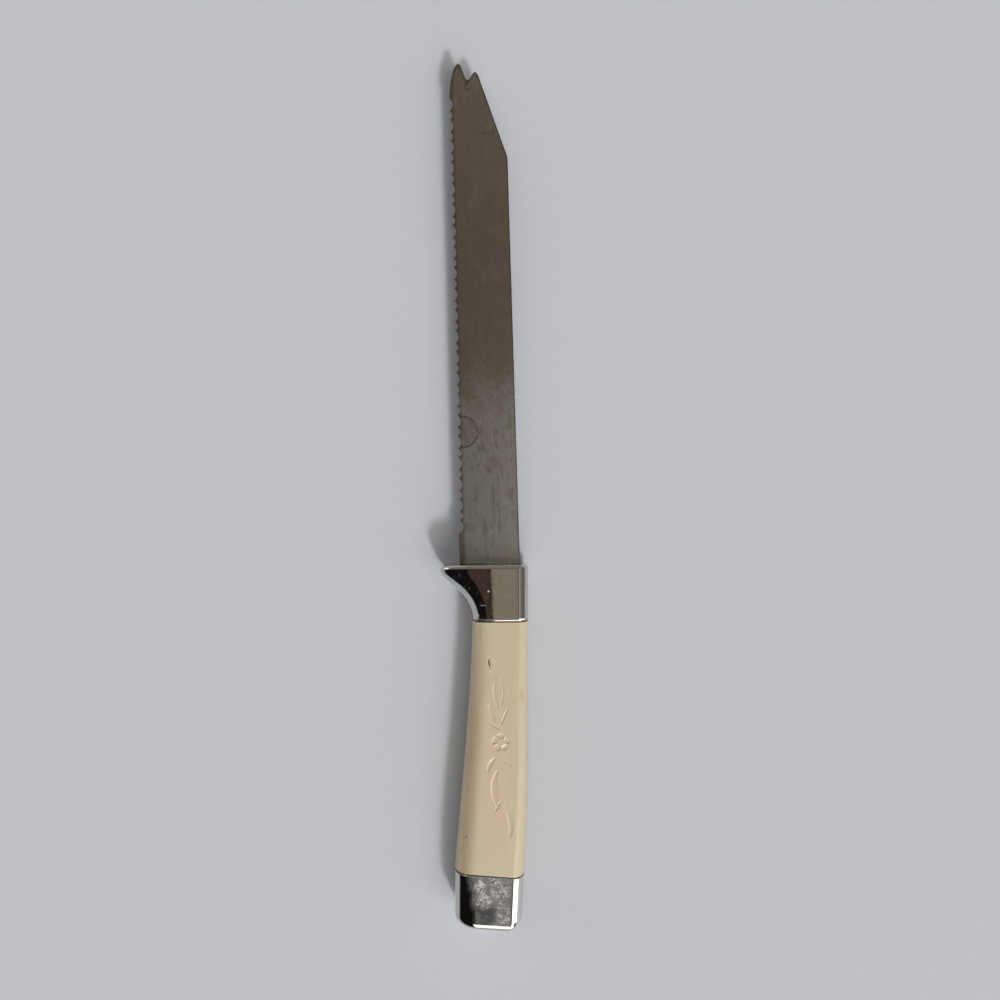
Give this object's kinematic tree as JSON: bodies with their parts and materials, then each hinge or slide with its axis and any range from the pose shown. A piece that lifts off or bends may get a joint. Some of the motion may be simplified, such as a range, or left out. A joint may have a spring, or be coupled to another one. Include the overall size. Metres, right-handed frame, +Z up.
{
  "type": "frozen food knife",
  "caption": "Long scalloped kitchen knife with a forked tip, plated bolster with a finger guard, cream moulded grip with an incised sprig, and a plated end cap.",
  "frame": {"origin": "under the middle of the knife's box, on the surface it lies on", "axes": "+Y along the spine from the handle to the tip, +X from the edge to the spine, +Z up through the blade's flat"},
  "size_m": [0.032, 0.3178, 0.015],
  "materials": {
    "blade_steel": "brushed lengthwise, stained brown with age",
    "plated_casting": "bright chrome plate, worn and pitted",
    "cream_plastic": "moulded, low gloss, yellowed",
    "fixing_steel": "zinc plated",
    "cutler_cement": "dark resin, matt"
  },
  "bodies": {
    "root": {"blade": "blade_steel", "bolster": "plated_casting", "grip": "cream_plastic", "pommel_cap": "plated_casting", "tang_rod": "fixing_steel", "tang_washer": "fixing_steel", "tang_nut": "fixing_steel", "tang_cement": "cutler_cement", "cap_cement": "cutler_cement"}
  },
  "joints": []
}
